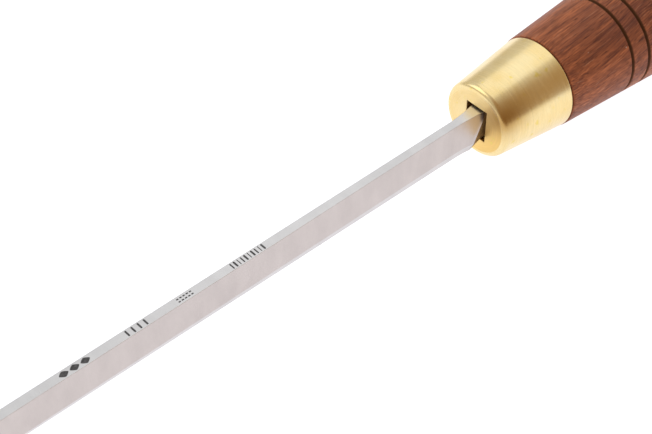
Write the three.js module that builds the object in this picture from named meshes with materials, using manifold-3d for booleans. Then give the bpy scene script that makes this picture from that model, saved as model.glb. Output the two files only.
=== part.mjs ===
// V parting tool for carving: a straight steel blade with a V-shaped cutting end, whose tang
// runs through the slotted end of a tapered brass ferrule into a turned hardwood handle.
//
// Millimetres. The origin is the middle of the flat on the handle's butt. +X runs along the
// tool to the cutting edge, and +Z is the open side of the V, which is the blade's narrow top.
import * as THREE from "three";
import { mergeVertices } from "three/addons/utils/BufferGeometryUtils.js";
import Module from "manifold-3d";

const wasm = await Module();
wasm.setup();

// ---- Lengths along the tool --------------------------------------------------------------
const GRIP_LENGTH = 118; // butt flat to the shoulder behind the ferrule
const FERRULE_LENGTH = 14.85;
const BLADE_REACH = 126; // ferrule face to cutting edge
const TANG_DEPTH = 52; // ferrule face to the tang's end
const JOINT_GAP = 0.3; // between pieces that meet face to face

const SHOULDER_X = GRIP_LENGTH;
const FERRULE_BACK_X = SHOULDER_X + JOINT_GAP;
const FACE_X = FERRULE_BACK_X + FERRULE_LENGTH;
const TIP_X = FACE_X + BLADE_REACH;

// ---- Blade ---------------------------------------------------------------------------------
// The bar's section has three corners a side: the band on top, the knee where the wide flank
// meets the lower bevel, and the keel. It tapers a little from the ferrule to the V.
const BAND_Z = 2.6; // height of the narrow top band over the tool's axis
const BAND_HALF_REAR = 0.76;
const BAND_HALF_FRONT = 0.9;
const KNEE_HALF = 1.15;
const KNEE_Z_REAR = -3.07;
const KNEE_Z_FRONT = -2.96;
const KEEL_HALF = 0.9;
const KEEL_Z_REAR = -4.5;
const KEEL_Z_FRONT = -3.72;

// The flanks thicken in a short curve towards the ferrule and stop at a slanted shoulder.
const RUN_OUT = 6;
const SHOULDER_HALVES = { band: 1.45, knee: 1.5, keel: 1.1 };
const SHOULDER_TOP = -1; // where the shoulder meets the band, ahead of the ferrule face
const SHOULDER_SLANT = 0.48; // and how far forward it goes for each millimetre down
const RUN_OUT_STEPS = 6;

// ---- V end ---------------------------------------------------------------------------------
const V_WIDTH = 6.35; // over the outside of the wings
const V_ANGLE = THREE.MathUtils.degToRad(60);
const WING = 1.0; // thickness of a wing
const V_STRAIGHT = 8; // the part of the V that keeps its full width
const V_FLARE_LENGTH = 18; // over which the straight bar widens into the V
const V_KEEL_HALF = 0.25;
const V_KNEE_RISE = 1.2; // the knee's height over the keel, on the wing
const CHANNEL_LENGTH = 24; // the channel's floor climbs to the band over this length
const BEVEL_ANGLE = THREE.MathUtils.degToRad(20);
const EDGE_LAND = 0.05; // thickness left at the cutting edge
const V_STEPS = 10;

// ---- Tang ----------------------------------------------------------------------------------
const TANG_HALF = 1.38;
const TANG_LOW_Z = -3.05;
const TANG_HEEL_DROP = 0.9; // the tang is this much deeper at the shoulder than in the slot
const TANG_END_HALF = 0.9;
const TANG_END_HALF_HEIGHT = 1.4;

// ---- Ferrule -------------------------------------------------------------------------------
const FERRULE_FRONT_R = 6.95;
const FERRULE_BACK_R = 8.55;
const FERRULE_WALL = 0.9;
const FERRULE_END_WALL = 1.2;
const FERRULE_EDGE_R = 0.85;
const SLOT_END_GAP = 0.2; // slot to the deeper side of the tang
const SLOT_SIDE_GAP = 0.9; // slot to the tang, each side

// ---- Handle --------------------------------------------------------------------------------
const NECK_STEP = 0.1; // the wood stands this much proud of the ferrule
const NECK_SLOPE = 0.066; // radius gained for each millimetre towards the butt
const NECK_LENGTH = 26; // straight taper behind the ferrule, with the two grooves in it
const BELLY_RADIUS = 900; // of the long arc that carries the taper over into the belly
const DOME_START_X = 16;
const BUTT_FLAT_R = 5;
const GROOVE_PLACES = [14.2, 18.15]; // behind the shoulder
const GROOVE_HALF = 0.45;
const GROOVE_DEPTH = 0.5;
const TANG_FIT = 0.3; // between the tang and the wood round it
const MOUTH_DEPTH = 4; // depth over which the mortise is as wide as the slot
const MORTISE_SPARE = 2; // beyond the end of the tang

const ROUND = 48; // sides of a turned surface
const ARC_STEPS = 10;

const mix = (a, b, t) => a + (b - a) * t;
const ease = (t) => t * t * (3 - 2 * t);

// ---- Geometry helpers ------------------------------------------------------------------------

/**
 * A closed solid from rings of [x, y, z] corners, with fan caps. The rings come in order of x,
 * and each runs from its +Y side down, across and up its -Y side.
 */
function loft(rings) {
  const count = rings[0].length;
  const corner = (ring, place) => ring * count + (place % count);
  const index = [];
  for (let ring = 0; ring + 1 < rings.length; ring += 1) {
    for (let place = 0; place < count; place += 1) {
      const a = corner(ring, place);
      const b = corner(ring, place + 1);
      const c = corner(ring + 1, place + 1);
      const d = corner(ring + 1, place);
      index.push(a, c, b, a, d, c);
    }
  }
  const last = rings.length - 1;
  for (let place = 1; place + 1 < count; place += 1) {
    index.push(corner(0, 0), corner(0, place), corner(0, place + 1));
    index.push(corner(last, 0), corner(last, place + 1), corner(last, place));
  }
  const geometry = new THREE.BufferGeometry();
  geometry.setAttribute("position", new THREE.Float32BufferAttribute(rings.flat(2), 3));
  geometry.setIndex(index);
  return geometry;
}

/** A turned solid about the tool's axis from [x, radius] points that run from butt to tip. */
function turned(profile) {
  const points = profile.map(([x, radius]) => new THREE.Vector2(radius, x));
  return new THREE.LatheGeometry(points, ROUND).rotateZ(-Math.PI / 2);
}

/** The same surface as a manifold solid, with its shared corners merged. */
function toSolid(geometry) {
  const bare = geometry.clone();
  bare.deleteAttribute("normal");
  bare.deleteAttribute("uv");
  const merged = mergeVertices(bare, 1e-4);
  const mesh = new wasm.Mesh({
    numProp: 3,
    vertProperties: merged.attributes.position.array,
    triVerts: Uint32Array.from(merged.index.array),
  });
  return new wasm.Manifold(mesh);
}

/** A manifold solid as a mesh with a name and a finish. */
function toMesh(solid, name, finish) {
  const { vertProperties, triVerts } = solid.getMesh();
  const geometry = new THREE.BufferGeometry();
  geometry.setAttribute("position", new THREE.BufferAttribute(vertProperties, 3));
  geometry.setIndex(new THREE.BufferAttribute(triVerts, 1));
  geometry.computeVertexNormals();
  const mesh = new THREE.Mesh(geometry, new THREE.MeshStandardMaterial(finish));
  mesh.name = name;
  return mesh;
}

/** A ring across the tool. Each corner is [x, half width, z] and is mirrored about Y = 0. */
function ring(...corners) {
  const left = corners.map(([x, half, z]) => [x, half, z]);
  const right = corners.map(([x, half, z]) => [x, -half, z]).reverse();
  return [...left, ...right];
}

// ---- Blade -----------------------------------------------------------------------------------

const HALF_V = V_ANGLE / 2;
const V_HALF = V_WIDTH / 2;
const V_KEEL_Z = BAND_Z - (V_HALF - V_KEEL_HALF) / Math.tan(HALF_V);
const V_KNEE_HALF = V_KEEL_HALF + V_KNEE_RISE * Math.tan(HALF_V);
const BAR_LENGTH = BLADE_REACH - V_STRAIGHT - V_FLARE_LENGTH; // ferrule face to the flare

/** The blade's corners as [half width, z], at a distance ahead of the ferrule. */
function bladeSection(ahead) {
  const along = Math.min(Math.max(ahead / BAR_LENGTH, 0), 1);
  const flare = ease(Math.min(Math.max((ahead - BAR_LENGTH) / V_FLARE_LENGTH, 0), 1));
  const kneeZ = mix(KNEE_Z_REAR, KNEE_Z_FRONT, along);
  const keelZ = mix(KEEL_Z_REAR, KEEL_Z_FRONT, along);
  return {
    band: [mix(mix(BAND_HALF_REAR, BAND_HALF_FRONT, along), V_HALF, flare), BAND_Z],
    knee: [mix(KNEE_HALF, V_KNEE_HALF, flare), mix(kneeZ, V_KEEL_Z + V_KNEE_RISE, flare)],
    keel: [mix(KEEL_HALF, V_KEEL_HALF, flare), mix(keelZ, V_KEEL_Z, flare)],
  };
}

/** How far ahead of the ferrule the slanted shoulder lies at a height. */
const shoulderAhead = (z) => SHOULDER_TOP + (BAND_Z - z) * SHOULDER_SLANT;

/** Rings that start on the shoulder and turn square to the tool where the run-out ends. */
function runOutRing(t) {
  const rear = bladeSection(0);
  const corner = (name) => {
    const ahead = mix(shoulderAhead(rear[name][1]), RUN_OUT, t);
    const [half, z] = bladeSection(ahead)[name];
    return [FACE_X + ahead, mix(half, SHOULDER_HALVES[name], (1 - t) ** 2), z];
  };
  return ring(corner("band"), corner("knee"), corner("keel"));
}

function barRings() {
  const rings = [];
  for (let step = 0; step <= RUN_OUT_STEPS; step += 1) {
    rings.push(runOutRing(step / RUN_OUT_STEPS));
  }
  const plainRing = (ahead) => {
    const { band, knee, keel } = bladeSection(ahead);
    return ring(...[band, knee, keel].map(([half, z]) => [FACE_X + ahead, half, z]));
  };
  for (let step = 0; step <= V_STEPS; step += 1) {
    rings.push(plainRing(BAR_LENGTH + (V_FLARE_LENGTH * step) / V_STEPS));
  }
  rings.push(plainRing(BLADE_REACH));
  return rings;
}

const TANG_MIDDLE_Z = (BAND_Z + TANG_LOW_Z) / 2;

/** Rings from the tang's end, through the slot, to the foot of the shoulder. */
function tangRings() {
  const endX = FACE_X - TANG_DEPTH;
  const end = [TANG_END_HALF_HEIGHT, 0, -TANG_END_HALF_HEIGHT].map((rise) => TANG_MIDDLE_Z + rise);
  const slotX = FACE_X + Math.min(SHOULDER_TOP, 0) - JOINT_GAP;
  const heel = [BAND_Z, TANG_MIDDLE_Z, TANG_LOW_Z - TANG_HEEL_DROP];
  return [
    ring(...end.map((z) => [endX, TANG_END_HALF, z])),
    ring([slotX, TANG_HALF, BAND_Z], [slotX, TANG_HALF, TANG_MIDDLE_Z], [FACE_X, TANG_HALF, TANG_LOW_Z]),
    ring(...heel.map((z) => [FACE_X + shoulderAhead(z), TANG_HALF, z])),
  ];
}

const INNER_DROP = WING / Math.sin(HALF_V); // outer keel corner of the V to the channel's floor
const OUTER_APEX_Z = BAND_Z - V_HALF / Math.tan(HALF_V);
const CHANNEL_FLOOR_Z = OUTER_APEX_Z + INNER_DROP;

/** The V-shaped channel, a wedge whose floor climbs from the edge up to the band. */
function channel() {
  const over = 1;
  const climb = (BAND_Z - CHANNEL_FLOOR_Z) / CHANNEL_LENGTH;
  const section = (x) => {
    const floorZ = CHANNEL_FLOOR_Z + (TIP_X - x) * climb;
    const half = (BAND_Z + over - floorZ) * Math.tan(HALF_V);
    return [[x, half, BAND_Z + over], [x, 0, floorZ], [x, -half, BAND_Z + over]];
  };
  return toSolid(loft([section(TIP_X - CHANNEL_LENGTH), section(TIP_X + over)]));
}

/** Everything outside the bevel that is ground on one wing; side is 1 or -1. */
function bevelWaste(side) {
  const size = 40;
  const wing = new THREE.Vector3(0, side * Math.cos(HALF_V), -Math.sin(HALF_V));
  const out = wing.clone().multiplyScalar(Math.cos(BEVEL_ANGLE));
  out.x = Math.sin(BEVEL_ANGLE);
  const across = new THREE.Vector3(1, 0, 0).cross(wing).normalize();
  const along = new THREE.Vector3().crossVectors(out, across);
  const onEdge = new THREE.Vector3(TIP_X, 0, CHANNEL_FLOOR_Z).addScaledVector(wing, EDGE_LAND);
  const place = new THREE.Matrix4().makeBasis(out, across, along);
  place.setPosition(onEdge.addScaledVector(out, size / 2));
  return toSolid(new THREE.BoxGeometry(size, size, size).applyMatrix4(place));
}

function blade() {
  const forged = toSolid(loft([...tangRings(), ...barRings()]));
  const ground = forged.subtract(channel()).subtract(bevelWaste(1)).subtract(bevelWaste(-1));
  return toMesh(ground, "blade", { color: 0xc4c3c2, roughness: 0.32, metalness: 1 });
}

// ---- Ferrule ---------------------------------------------------------------------------------

const FERRULE_SLOPE = (FERRULE_BACK_R - FERRULE_FRONT_R) / FERRULE_LENGTH;
const ferruleRadius = (x) => FERRULE_FRONT_R + (FACE_X - x) * FERRULE_SLOPE;
const SLOT_HALF_WIDTH = TANG_HALF + SLOT_SIDE_GAP;
const SLOT_HALF_HEIGHT = Math.max(BAND_Z, -TANG_LOW_Z) + SLOT_END_GAP;

/** An upright rectangle across the tool, as a ring for a loft. */
const rectangle = (x, half, top, low) => [[x, half, top], [x, half, low], [x, -half, low], [x, -half, top]];

function ferrule() {
  const edge = [];
  for (let step = 0; step <= 4; step += 1) {
    const turn = (Math.PI / 2) * (step / 4);
    const x = FACE_X - FERRULE_EDGE_R * (1 - Math.sin(turn));
    edge.push([x, ferruleRadius(x) - FERRULE_EDGE_R * (1 - Math.cos(turn))]);
  }
  const insideX = FACE_X - FERRULE_END_WALL;
  const shell = toSolid(turned([
    [insideX, 0],
    [insideX, ferruleRadius(insideX) - FERRULE_WALL],
    [FERRULE_BACK_X, FERRULE_BACK_R - FERRULE_WALL],
    [FERRULE_BACK_X, FERRULE_BACK_R],
    ...edge,
    [FACE_X, 0],
  ]));
  const slot = toSolid(loft([
    rectangle(insideX - 1, SLOT_HALF_WIDTH, SLOT_HALF_HEIGHT, -SLOT_HALF_HEIGHT),
    rectangle(FACE_X + 1, SLOT_HALF_WIDTH, SLOT_HALF_HEIGHT, -SLOT_HALF_HEIGHT),
  ]));
  return toMesh(shell.subtract(slot), "ferrule", { color: 0xd9b45c, roughness: 0.26, metalness: 1 });
}

// ---- Handle ----------------------------------------------------------------------------------

const NECK_START_X = SHOULDER_X - NECK_LENGTH;
const NECK_R = FERRULE_BACK_R + NECK_STEP;

/** Handle radius from the end of the dome forward to the shoulder, without the grooves. */
function gripRadius(x) {
  const behind = Math.max(NECK_START_X - x, 0);
  return NECK_R + (SHOULDER_X - x) * NECK_SLOPE - behind ** 2 / (2 * BELLY_RADIUS);
}

/**
 * The butt: the stretch of an ellipse from the flat to the dome's start, where it runs on in
 * line with the belly. Turn is the ellipse's angle, zero at its widest.
 */
function dome() {
  const startR = gripRadius(DOME_START_X);
  const fall = (NECK_START_X - DOME_START_X) / BELLY_RADIUS - NECK_SLOPE;
  const first = Math.asin((fall * DOME_START_X) / startR);
  const tall = startR / Math.cos(first);
  const last = Math.acos(BUTT_FLAT_R / tall);
  const across = DOME_START_X / (Math.sin(last) - Math.sin(first));
  const points = [[0, 0]];
  for (let step = 0; step <= ARC_STEPS; step += 1) {
    const turn = mix(last, first, step / ARC_STEPS);
    points.push([across * (Math.sin(last) - Math.sin(turn)), tall * Math.cos(turn)]);
  }
  return points;
}

function gripProfile() {
  const points = dome();
  for (let step = 1; step <= ARC_STEPS; step += 1) {
    const x = mix(DOME_START_X, NECK_START_X, step / ARC_STEPS);
    points.push([x, gripRadius(x)]);
  }
  for (const behind of [...GROOVE_PLACES].reverse()) {
    const x = SHOULDER_X - behind;
    points.push([x - GROOVE_HALF, gripRadius(x - GROOVE_HALF)]);
    points.push([x - GROOVE_HALF / 2, gripRadius(x) - GROOVE_DEPTH]);
    points.push([x + GROOVE_HALF / 2, gripRadius(x) - GROOVE_DEPTH]);
    points.push([x + GROOVE_HALF, gripRadius(x + GROOVE_HALF)]);
  }
  points.push([SHOULDER_X, NECK_R]);
  return points;
}

/** The tenon that fills the ferrule, from the shoulder forward. */
function tenonProfile() {
  const noseX = FACE_X - FERRULE_END_WALL - JOINT_GAP;
  const tenonRadius = (x) => ferruleRadius(x) - FERRULE_WALL - JOINT_GAP;
  return [[SHOULDER_X, tenonRadius(SHOULDER_X)], [noseX, tenonRadius(noseX)], [noseX, 0]];
}

/** The mortise: a close tapered fit round the tang, and as wide as the slot at its mouth. */
function mortise() {
  const mouthX = FACE_X - FERRULE_END_WALL;
  const endX = FACE_X - TANG_DEPTH;
  const fitted = (x) => {
    const t = (mouthX - x) / (mouthX - endX);
    const half = mix(TANG_HALF, TANG_END_HALF, t) + TANG_FIT;
    const top = mix(BAND_Z, TANG_MIDDLE_Z + TANG_END_HALF_HEIGHT, t) + TANG_FIT;
    const low = mix(TANG_LOW_Z, TANG_MIDDLE_Z - TANG_END_HALF_HEIGHT, t) - TANG_FIT;
    return rectangle(x, half, top, low);
  };
  const wide = (x) => rectangle(x, SLOT_HALF_WIDTH, SLOT_HALF_HEIGHT, -SLOT_HALF_HEIGHT);
  return toSolid(loft([
    fitted(endX - MORTISE_SPARE),
    fitted(mouthX - MOUTH_DEPTH - SLOT_SIDE_GAP),
    wide(mouthX - MOUTH_DEPTH),
    wide(FACE_X),
  ]));
}

function handle() {
  const wood = toSolid(turned([...gripProfile(), ...tenonProfile()]));
  return toMesh(wood.subtract(mortise()), "handle", { color: 0x7d4a36, roughness: 0.45, metalness: 0 });
}

const tool = new THREE.Group();
tool.add(blade(), ferrule(), handle());

export default tool;
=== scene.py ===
"""A V parting tool for carving: ground steel blade, spun brass ferrule, turned hardwood handle.

Metres, in the tool's own frame. +X runs along the tool from the flat on the handle's butt to
the cutting edge, and +Z is the side of the blade's narrow band, where the V is open. "Ahead"
is the distance in front of the ferrule's face. Every surface is worked out on a grid whose
rows follow the tool and whose columns go round it, from +Y towards +Z.
"""

import logging
import math
from dataclasses import dataclass
from enum import Enum

import bpy
import numpy as np
from mathutils import Matrix, Vector

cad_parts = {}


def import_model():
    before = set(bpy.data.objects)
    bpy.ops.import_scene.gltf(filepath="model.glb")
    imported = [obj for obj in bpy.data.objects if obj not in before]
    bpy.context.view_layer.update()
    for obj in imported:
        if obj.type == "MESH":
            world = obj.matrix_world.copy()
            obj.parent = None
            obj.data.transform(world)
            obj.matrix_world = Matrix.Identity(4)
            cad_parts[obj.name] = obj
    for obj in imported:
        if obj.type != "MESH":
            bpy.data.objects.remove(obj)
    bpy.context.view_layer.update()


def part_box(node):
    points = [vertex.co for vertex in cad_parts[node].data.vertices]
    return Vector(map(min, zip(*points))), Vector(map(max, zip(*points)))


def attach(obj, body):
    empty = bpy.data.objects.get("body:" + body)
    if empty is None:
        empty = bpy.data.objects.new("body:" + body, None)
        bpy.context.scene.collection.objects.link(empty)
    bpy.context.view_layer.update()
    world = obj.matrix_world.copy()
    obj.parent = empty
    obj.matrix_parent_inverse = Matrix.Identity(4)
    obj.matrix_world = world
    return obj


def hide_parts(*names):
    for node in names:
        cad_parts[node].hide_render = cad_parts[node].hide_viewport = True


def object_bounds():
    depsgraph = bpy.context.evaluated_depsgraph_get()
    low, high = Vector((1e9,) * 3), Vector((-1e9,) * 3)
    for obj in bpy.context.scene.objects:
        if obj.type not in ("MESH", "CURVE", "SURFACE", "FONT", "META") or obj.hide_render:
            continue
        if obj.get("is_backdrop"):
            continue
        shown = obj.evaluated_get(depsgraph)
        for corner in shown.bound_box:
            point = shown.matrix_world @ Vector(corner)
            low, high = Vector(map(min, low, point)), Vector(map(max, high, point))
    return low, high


MM = 0.001
AXIS_COLUMNS = 192  # columns round a turned piece
SHARP_EDGE = math.radians(40)

Array = np.ndarray
Colour = tuple[float, float, float]
Span = tuple[float, float]
Socket = bpy.types.NodeSocket
Feed = Socket | float | tuple[float, ...]

log = logging.getLogger("parting_tool")


class Slot(Enum):
    """The names of the record's material slots, which the finishes below are also named by."""

    STEEL = "ground_steel"
    BRASS = "spun_brass"
    WOOD = "dark_hardwood"
    MARK = "etched_mark"


# ---- Meshes --------------------------------------------------------------------------------


def ease(share: Array) -> Array:
    """The smooth step 3t^2 - 2t^3 of a share that is first held between 0 and 1."""
    held = np.clip(share, 0.0, 1.0)
    return held * held * (3.0 - 2.0 * held)


def wrap_faces(rows: int, columns: int, closed: bool) -> list[list[int]]:
    """Quads over a grid of points whose columns go round and meet.

    Face (i, j) joins points (i, j), (i, j+1), (i+1, j+1) and (i+1, j), so it points away from
    the axis where the rows run along +X and the columns turn from +Y to +Z.

    Args:
        rows: Number of rings.
        columns: Points in a ring.
        closed: Whether the last ring joins the first.

    Returns:
        The quads as lists of four point numbers.
    """
    row = np.arange(rows if closed else rows - 1)[:, None]
    column = np.arange(columns)[None, :]
    after, beside = (row + 1) % rows, (column + 1) % columns
    corners = [(row, column), (row, beside), (after, beside), (after, column)]
    quads = [(r * columns + c).ravel() for r, c in corners]
    return np.stack(quads, axis=1).tolist()


def pole_faces(rows: int, columns: int, poles: tuple[int, int]) -> list[list[int]]:
    """Triangles that close the first and the last ring of a grid on a pole each.

    Args:
        rows: Number of rings.
        columns: Points in a ring.
        poles: Point numbers of the first and the last pole.

    Returns:
        The triangles as lists of three point numbers.
    """
    here = np.arange(columns)
    beside = (here + 1) % columns
    last = (rows - 1) * columns
    first_fan = np.stack([np.full(columns, poles[0]), beside, here], axis=1)
    last_fan = np.stack([last + here, last + beside, np.full(columns, poles[1])], axis=1)
    return first_fan.tolist() + last_fan.tolist()


def make_piece(
    name: str,
    points: Array,
    faces: list[list[int]],
    material: bpy.types.Material,
    stands_for: str | None = None,
    weights: dict[str, Array] | None = None,
) -> bpy.types.Object:
    """Puts a surface into the scene as a piece that rides with the tool.

    Args:
        name: The piece's name.
        points: Its points, shape (n, 3).
        faces: Its faces as lists of point numbers, facing out.
        material: Its finish.
        stands_for: The CAD node that the piece is shown instead of, if there is one.
        weights: Named values, one for each point, that the finish reads.

    Returns:
        The new object, at the origin.
    """
    mesh = bpy.data.meshes.new(name)
    mesh.from_pydata(points.tolist(), [], faces)
    mesh.polygons.foreach_set("use_smooth", np.ones(len(faces), dtype=bool))
    mesh.set_sharp_from_angle(angle=SHARP_EDGE)
    for label, values in (weights or {}).items():
        attribute = mesh.attributes.new(label, "FLOAT", "POINT")
        attribute.data.foreach_set("value", values.astype(np.float32))
    mesh.materials.append(material)
    piece = bpy.data.objects.new(name, mesh)
    bpy.context.scene.collection.objects.link(piece)
    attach(piece, "root")
    if stands_for:
        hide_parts(stands_for)
    log.info("%s: %d points, %d faces", name, len(points), len(faces))
    return piece


class RingWalk:
    """How the rings of a turned piece are walked, so that round and square rings share columns.

    A quarter of the columns belongs to each side of the slot. Column j has a bearing, for a
    round ring, and a place on a square of half size one, for a square ring. Both run evenly
    from corner to corner, so a slot keeps its sharp corners.
    """

    def __init__(self, half_width: float, half_height: float) -> None:
        """Works out each column's bearing and place.

        Args:
            half_width: Half the slot's width, along Y.
            half_height: Half the slot's height, along Z.
        """
        corner = math.atan2(half_height, half_width)
        bearings = np.array([0.0, 0.0, math.pi, math.pi, math.tau])
        bearings = bearings + corner * np.array([-1, 1, -1, 1, -1])
        signs = np.array([[1, -1], [1, 1], [-1, 1], [-1, -1], [1, -1]], dtype=float)
        side = np.repeat(np.arange(4), AXIS_COLUMNS // 4)
        share = np.tile(np.arange(AXIS_COLUMNS // 4) / (AXIS_COLUMNS // 4), 4)
        bearing = bearings[side] + (bearings[side + 1] - bearings[side]) * share
        self.circle = np.stack([np.cos(bearing), np.sin(bearing)], axis=1)
        self.square = signs[side] + (signs[side + 1] - signs[side]) * share[:, None]

    def points(self, rows: Array) -> Array:
        """Carries the rings along the tool.

        Point (i, j) is at x[i]. Across the tool it lies squareness[i] of the way from the
        circle of radius[i], at column j's bearing, to the rectangle of half sizes
        half_width[i] and half_height[i], at column j's place.

        Args:
            rows: x, radius, half width, half height and squareness of each ring, shape (n, 5).

        Returns:
            The points, shape (n * columns, 3), ring by ring.
        """
        x, radius, half_width, half_height, squareness = rows.T[:, :, None, None]
        round_ring = radius * self.circle
        square_ring = np.concatenate([half_width, half_height], axis=2) * self.square
        across = round_ring + (square_ring - round_ring) * squareness
        along = np.broadcast_to(x, (*across.shape[:2], 1))
        return np.concatenate([along, across], axis=2).reshape(-1, 3)


def round_rows(x: Array, radius: Array) -> Array:
    """Round rings for RingWalk.points from places along the tool and their radii."""
    x, radius = np.broadcast_arrays(np.asarray(x, float), np.asarray(radius, float))
    return np.stack([x, radius, 0 * x, 0 * x, 0 * x], axis=-1).reshape(-1, 5)


def square_rows(x: Array, half_width: Array, half_height: Array) -> Array:
    """Square rings for RingWalk.points from places along the tool and their half sizes."""
    x, half_width, half_height = np.broadcast_arrays(
        *(np.asarray(value, float) for value in (x, half_width, half_height))
    )
    return np.stack([x, 0 * x, half_width, half_height, 0 * x + 1], axis=-1).reshape(-1, 5)


def web_rows(round_row: Array, square_row: Array, shares: Array) -> Array:
    """Rings on the web between a round ring and a square one.

    Args:
        round_row: The round ring's row, shape (1, 5).
        square_row: The square ring's row, shape (1, 5).
        shares: How far across each new ring lies, from 0 at the round ring to 1.

    Returns:
        The new rows, shape (shares, 5).
    """
    both = round_row + square_row
    both[0, 0] = 0.0
    rows = np.repeat(both, len(shares), axis=0)
    rows[:, 0] = round_row[0, 0] + (square_row[0, 0] - round_row[0, 0]) * shares
    rows[:, 4] = shares
    return rows


# ---- Finishes ------------------------------------------------------------------------------


class Shading:
    """A node tree that is being wired. Each method adds one node and returns what it gives."""

    def __init__(self, tree: bpy.types.NodeTree) -> None:
        """Takes the tree of a material or a world."""
        self.tree = tree

    def feed(self, socket: Socket, value: Feed) -> None:
        """Fills a socket.

        Args:
            socket: The socket.
            value: Another socket to link to it, or the number, vector or colour it is set to.
        """
        if isinstance(value, Socket):
            self.tree.links.new(value, socket)
        elif isinstance(value, tuple) and len(value) == 3 and socket.type == "RGBA":
            socket.default_value = (*value, 1.0)
        else:
            socket.default_value = value

    def node(self, kind: str, inputs: dict[str | int, Feed], **settings: object) -> bpy.types.Node:
        """Adds a node.

        Args:
            kind: Its type, without the ShaderNode that all of them start with.
            inputs: What goes into its sockets, by their name or number.
            settings: Its properties.

        Returns:
            The node.
        """
        node = self.tree.nodes.new("ShaderNode" + kind)
        for name, value in settings.items():
            setattr(node, name, value)
        for socket, value in inputs.items():
            self.feed(node.inputs[socket], value)
        return node

    def place(self) -> Socket:
        """The point's place in the tool's frame, in metres."""
        return self.node("TexCoord", {}).outputs["Object"]

    def weight(self, label: str) -> Socket:
        """A value that the mesh carries at its points."""
        return self.node("Attribute", {}, attribute_name=label).outputs["Fac"]

    def math(self, operation: str, *terms: Feed) -> Socket:
        """A sum, product or other function of up to three numbers."""
        return self.node("Math", dict(enumerate(terms)), operation=operation).outputs[0]

    def vector(self, operation: str, *terms: Feed) -> Socket:
        """A sum, product or other function of one or two vectors."""
        result = self.node("VectorMath", dict(enumerate(terms)), operation=operation)
        return result.outputs["Value" if operation in ("LENGTH", "DOT_PRODUCT") else "Vector"]

    def parts(self, vector: Feed) -> list[Socket]:
        """The X, Y and Z of a vector."""
        return list(self.node("SeparateXYZ", {0: vector}).outputs)

    def join(self, x: Feed, y: Feed, z: Feed) -> Socket:
        """A vector from three numbers."""
        return self.node("CombineXYZ", {0: x, 1: y, 2: z}).outputs[0]

    def drawn(self, place: Feed, along: float, across: float) -> Socket:
        """A place times along and across, so that noise is longest where that is smallest."""
        return self.vector("MULTIPLY", place, (along, across, across))

    def noise(
        self, place: Feed, size: float, detail: float, roughness: float, output: str = "Fac"
    ) -> Socket:
        """Soft noise whose largest features are about size across.

        Args:
            place: Where it is looked up.
            size: Feature size, in the unit of the place.
            detail: Number of finer layers.
            roughness: How strong each finer layer is.
            output: Fac for one number, or Color for three.

        Returns:
            The noise, mostly between 0.3 and 0.7.
        """
        inputs = {"Vector": place, "Scale": 1.0 / size, "Detail": detail, "Roughness": roughness}
        return self.node("TexNoise", inputs).outputs[output]

    def ramp(self, value: Feed, span: Span, result: Span = (0.0, 1.0)) -> Socket:
        """A number that runs evenly through result as the value crosses a span, held beyond it."""
        inputs = {0: value, 1: span[0], 2: span[1], 3: result[0], 4: result[1]}
        return self.node("MapRange", inputs).outputs[0]

    def blend(self, share: Feed, first: Feed, second: Feed, mode: str = "MIX") -> Socket:
        """One colour laid over another by a share."""
        inputs = {0: share, 6: first, 7: second}
        return self.node("Mix", inputs, data_type="RGBA", blend_type=mode).outputs[2]

    def bump(self, height: Feed, depth: float, strength: float, under: Feed | None = None) -> Socket:
        """A normal that follows a height.

        Args:
            height: The height as a share of depth.
            depth: The real height of one, in metres.
            strength: How much of it shows.
            under: The normal that this one lies on, if there is one.

        Returns:
            The normal.
        """
        inputs = {"Height": height, "Distance": depth, "Strength": strength}
        if under is not None:
            inputs["Normal"] = under
        return self.node("Bump", inputs).outputs[0]


class SurfaceShading(Shading):
    """The nodes of one material."""

    def __init__(self, name: str) -> None:
        """Makes the material with its one shader.

        Args:
            name: The material's name.
        """
        self.material = bpy.data.materials.new(name)
        self.material.use_nodes = True
        super().__init__(self.material.node_tree)
        self.shader = self.tree.nodes["Principled BSDF"]

    def dress(self, **inputs: Feed) -> bpy.types.Material:
        """Feeds the shader.

        Args:
            inputs: What goes into its sockets, by their names with _ for a space.

        Returns:
            The finished material.
        """
        for name, value in inputs.items():
            self.feed(self.shader.inputs[name.replace("_", " ")], value)
        return self.material


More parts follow.
